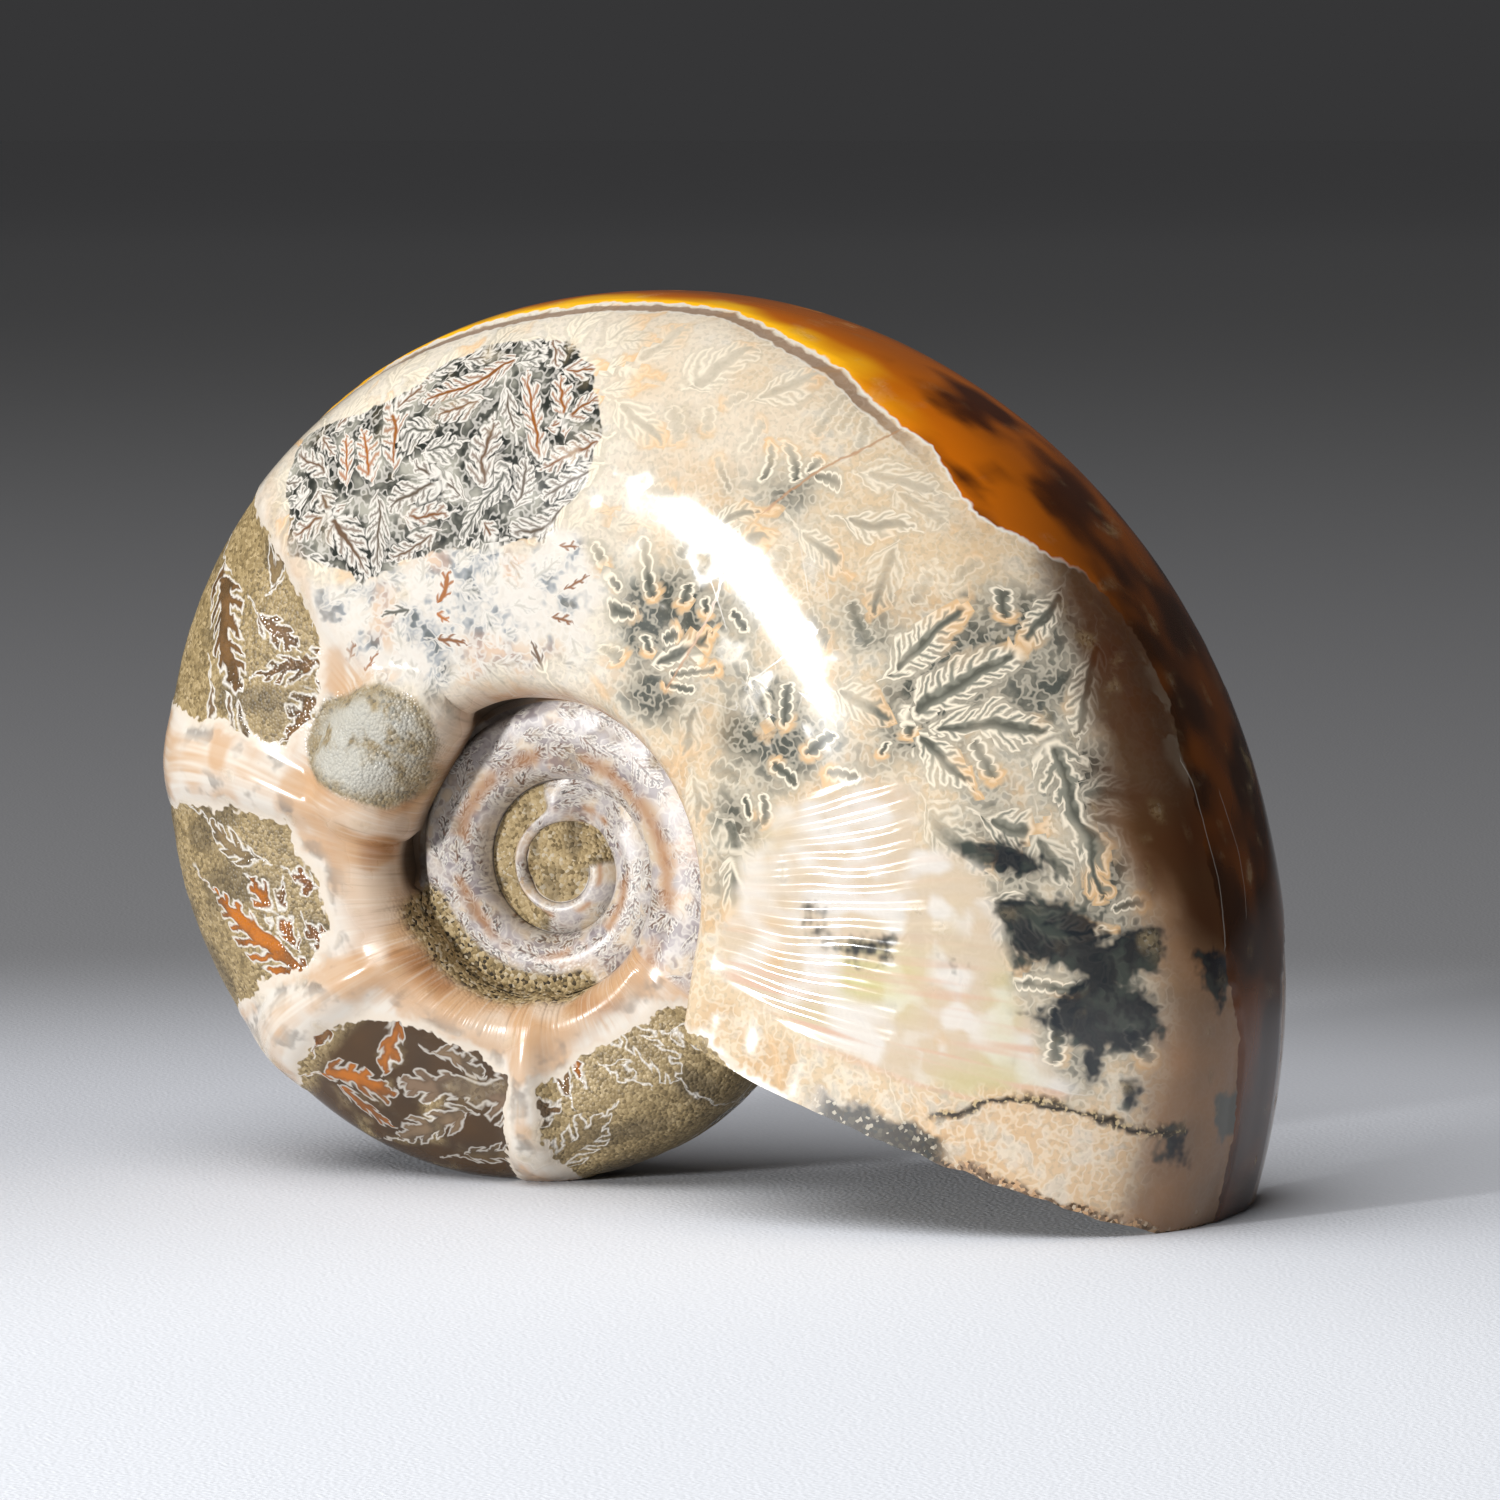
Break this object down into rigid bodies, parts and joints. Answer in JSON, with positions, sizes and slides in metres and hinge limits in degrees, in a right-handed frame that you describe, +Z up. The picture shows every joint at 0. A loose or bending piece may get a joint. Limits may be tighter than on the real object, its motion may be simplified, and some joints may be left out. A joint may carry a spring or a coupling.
{
  "type": "fossil ammonite",
  "caption": "Polished fossil ammonite: a flattened coiled shell with a deep umbilicus, standing on its older whorl and the broken edge of its aperture.",
  "frame": {"origin": "on the surface it stands on, under the middle of the bounding box", "axes": "+Z up, +X towards the body whorl and its aperture, Y along the coil axis: the shell's plane of symmetry is XZ"},
  "size_m": [0.1094, 0.045, 0.0834],
  "materials": {
    "polished_fossil": "polished"
  },
  "bodies": {
    "root": {"ammonite": "polished_fossil"}
  },
  "joints": []
}
